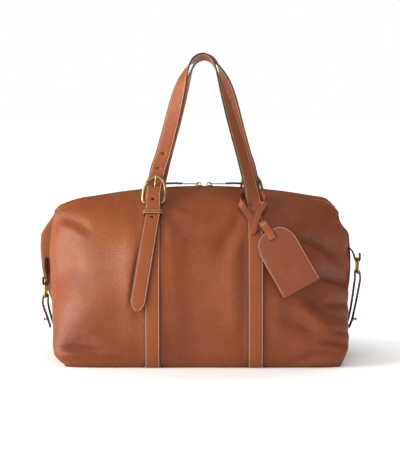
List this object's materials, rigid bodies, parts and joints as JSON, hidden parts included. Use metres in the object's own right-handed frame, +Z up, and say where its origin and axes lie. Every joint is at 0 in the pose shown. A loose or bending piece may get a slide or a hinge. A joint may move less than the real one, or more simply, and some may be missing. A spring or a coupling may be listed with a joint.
{
  "type": "weekender bag",
  "caption": "Soft leather holdall with a curved two-way zip, buckled strap handles that swing out, cinched ends with rings, and a luggage tag.",
  "frame": {"origin": "middle of the base's underside, on the floor, midway between the two straps", "axes": "+X along the bag's length to the right as seen from the front, +Y from front to back, +Z up"},
  "size_m": [0.5256, 0.2595, 0.5013],
  "materials": {
    "body_leather": "soft full grain, tan, semi-matt",
    "base_leather": "full grain, tan, darker",
    "strap_leather": "full grain, tan, stitched, dark painted edges",
    "lining": "plain cotton twill",
    "zip_tape": "woven tape, dark brown",
    "board": "stiff bag board",
    "brass": "antique brass, softly polished"
  },
  "bodies": {
    "bag": {"front_panel": "body_leather", "back_panel": "body_leather", "left_gusset": "body_leather", "right_gusset": "body_leather", "base_panel": "base_leather", "base_board": "board", "lining": "lining", "zip_tape_front": "zip_tape", "zip_tape_back": "zip_tape", "zip_teeth_front": "brass", "zip_teeth_back": "brass", "zip_end_tab_left": "strap_leather", "zip_end_tab_right": "strap_leather", "left_body_strap": "strap_leather", "right_body_strap": "strap_leather", "front_handle_throat": "strap_leather", "back_handle_throat": "strap_leather", "front_keeper": "strap_leather", "back_keeper": "strap_leather", "left_end_tab": "strap_leather", "right_end_tab": "strap_leather", "left_end_strap": "strap_leather", "right_end_strap": "strap_leather", "left_end_stud": "brass", "right_end_stud": "brass", "tag_strap": "strap_leather"},
    "front_handle": {"front_handle": "strap_leather", "front_buckle_frame": "brass"},
    "back_handle": {"back_handle": "strap_leather", "back_buckle_frame": "brass"},
    "front_prong": {"front_buckle_prong": "brass"},
    "back_prong": {"back_buckle_prong": "brass"},
    "front_tail": {"front_handle_tail": "strap_leather"},
    "back_tail": {"back_handle_tail": "strap_leather"},
    "left_slider": {"zip_slider_left": "brass"},
    "right_slider": {"zip_slider_right": "brass"},
    "left_pull": {"zip_pull_left": "brass"},
    "right_pull": {"zip_pull_right": "brass"},
    "left_puller": {"zip_puller_left": "strap_leather"},
    "right_puller": {"zip_puller_right": "strap_leather"},
    "left_ring": {"left_end_ring": "brass"},
    "right_ring": {"right_end_ring": "brass"},
    "tag": {"tag_tab": "strap_leather", "tag_front": "strap_leather", "tag_back": "strap_leather"}
  },
  "joints": [
    {"name": "front_handle_swing", "type": "hinge", "parent": "bag", "child": "front_handle", "pos_m": [0, -0.05421, 0.2606], "axis": [1, 0, 0], "range_deg": [0, 75]},
    {"name": "back_handle_swing", "type": "hinge", "parent": "bag", "child": "back_handle", "pos_m": [0, 0.05421, 0.2606], "axis": [-1, 0, 0], "range_deg": [0, 75]},
    {"name": "front_prong_lift", "type": "hinge", "parent": "front_handle", "child": "front_prong", "pos_m": [-0.082, -0.05421, 0.2606], "axis": [1, 0, 0], "range_deg": [0, 2]},
    {"name": "back_prong_lift", "type": "hinge", "parent": "back_handle", "child": "back_prong", "pos_m": [0.082, 0.05421, 0.2606], "axis": [-1, 0, 0], "range_deg": [0, 2]},
    {"name": "front_tail_lift", "type": "hinge", "parent": "bag", "child": "front_tail", "pos_m": [-0.082, -0.07452, 0.24044], "axis": [-1, 0, 0], "range_deg": [0, 30]},
    {"name": "back_tail_lift", "type": "hinge", "parent": "bag", "child": "back_tail", "pos_m": [0.082, 0.07452, 0.24044], "axis": [1, 0, 0], "range_deg": [0, 30]},
    {"name": "left_slider_travel", "type": "hinge", "parent": "bag", "child": "left_slider", "pos_m": [0, 0, -0.717], "axis": [0, -1, 0], "range_deg": [0, 10.2]},
    {"name": "right_slider_travel", "type": "hinge", "parent": "bag", "child": "right_slider", "pos_m": [0, 0, -0.717], "axis": [0, 1, 0], "range_deg": [0, 10.2]},
    {"name": "left_pull_flip", "type": "hinge", "parent": "left_slider", "child": "left_pull", "pos_m": [-0.0085, 0, 0.28756], "axis": [0, 1, 0], "range_deg": [0, 120]},
    {"name": "right_pull_flip", "type": "hinge", "parent": "right_slider", "child": "right_pull", "pos_m": [0.0085, 0, 0.28756], "axis": [0, -1, 0], "range_deg": [0, 120]},
    {"name": "left_puller_fold", "type": "hinge", "parent": "left_pull", "child": "left_puller", "pos_m": [-0.0309, 0, 0.28756], "axis": [0, 1, 0], "range_deg": [0, 60]},
    {"name": "right_puller_fold", "type": "hinge", "parent": "right_pull", "child": "right_puller", "pos_m": [0.0309, 0, 0.28756], "axis": [0, -1, 0], "range_deg": [0, 60]},
    {"name": "left_ring_swing", "type": "hinge", "parent": "bag", "child": "left_ring", "pos_m": [-0.26123, 0, 0.124], "axis": [0, 1, 0], "range_deg": [-2, 2]},
    {"name": "right_ring_swing", "type": "hinge", "parent": "bag", "child": "right_ring", "pos_m": [0.25301, 0, 0.164], "axis": [0, -1, 0], "range_deg": [-2, 2]},
    {"name": "tag_lift", "type": "hinge", "parent": "bag", "child": "tag", "pos_m": [0.09169, -0.10296, 0.23272], "axis": [-0.866, 0.01, -0.5], "range_deg": [0, 60]}
  ]
}
